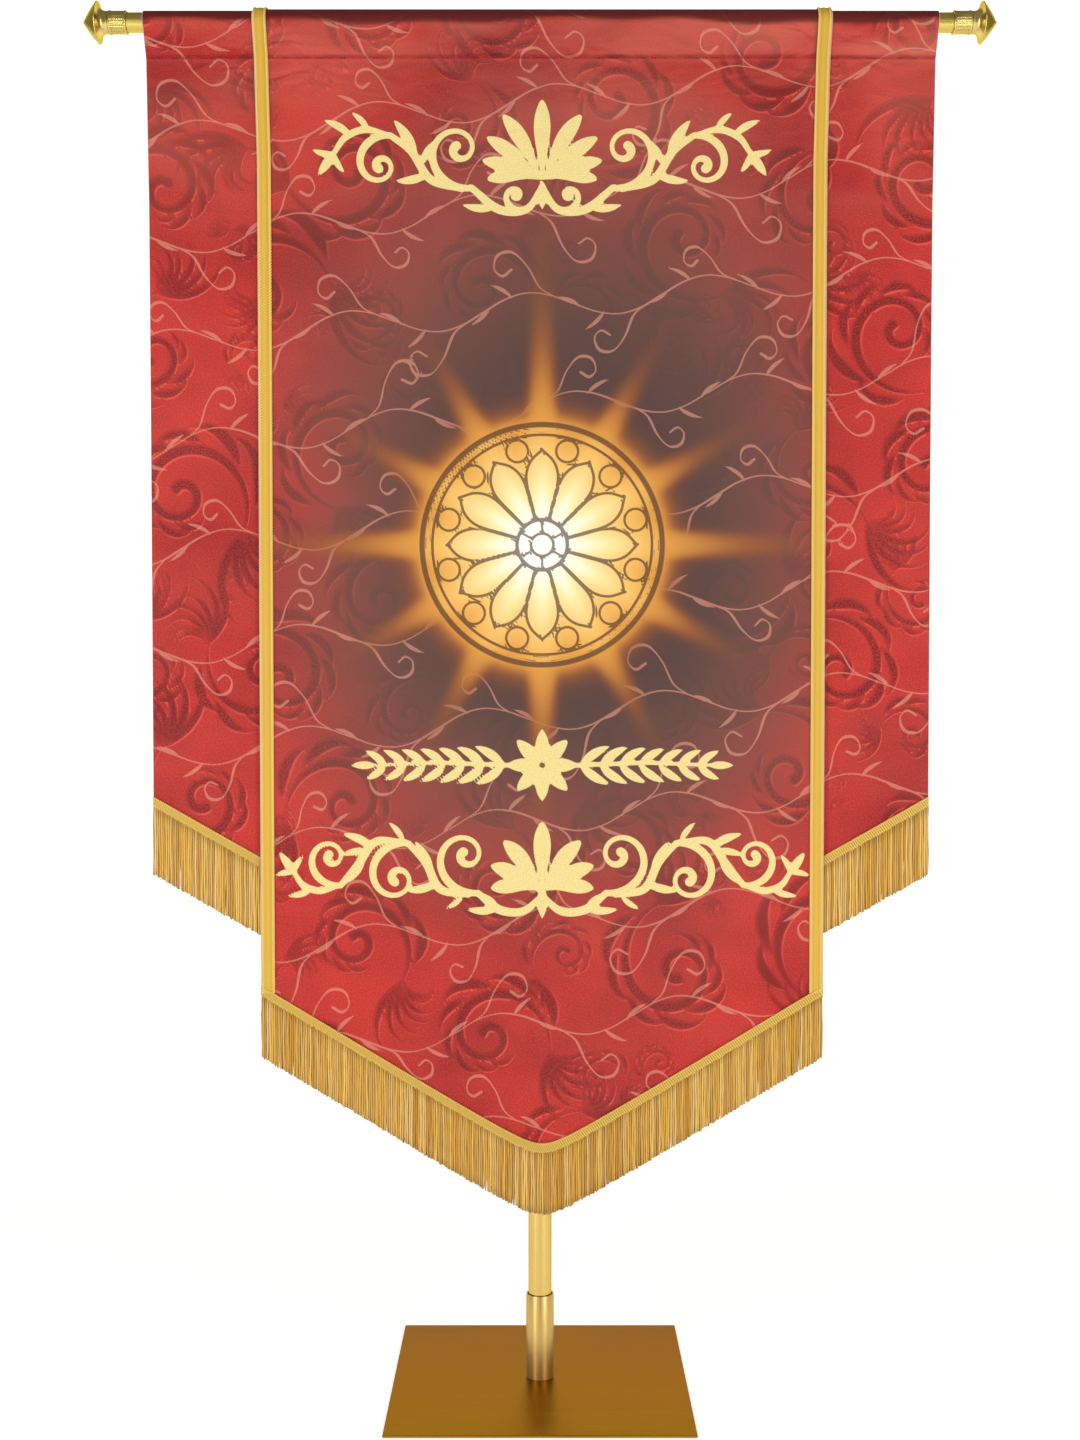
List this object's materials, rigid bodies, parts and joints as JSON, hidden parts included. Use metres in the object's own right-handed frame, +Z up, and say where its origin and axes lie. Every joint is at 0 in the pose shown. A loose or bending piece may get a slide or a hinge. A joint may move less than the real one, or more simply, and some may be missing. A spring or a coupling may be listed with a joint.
{
  "type": "church banner on stand",
  "caption": "Red cloth banner, a narrow pointed panel over a wide one, with gold braid and fringe, hung by rod pockets from a crossbar with finials on a pole that stands in a square foot.",
  "frame": {"origin": "middle of the foot plate's underside, on the surface that the stand stands on, under the pole's axis", "axes": "+Z up along the pole; +X along the crossbar, to the right as seen from the front; the banner's front faces -Y"},
  "size_m": [1.0566, 0.34, 1.6009],
  "materials": {
    "brushed_gold_plate": "brushed gold lacquer over steel",
    "gold_plated_tube": "satin gold plate on steel tube",
    "polished_gold_fitting": "polished gold plate",
    "red_damask": "matte satin damask with a tone-on-tone scroll",
    "gold_braid": "woven metallic gimp",
    "gold_fringe": "twisted rayon chainette"
  },
  "bodies": {
    "root": {"base_plate": "brushed_gold_plate", "base_socket": "gold_plated_tube", "pole": "gold_plated_tube", "crossbar": "gold_plated_tube", "collar_left": "polished_gold_fitting", "collar_right": "polished_gold_fitting", "finial_left": "polished_gold_fitting", "finial_right": "polished_gold_fitting", "back_panel": "red_damask", "front_panel": "red_damask", "braid_left": "gold_braid", "braid_right": "gold_braid", "back_fringe": "gold_fringe", "front_fringe": "gold_fringe"}
  },
  "joints": []
}
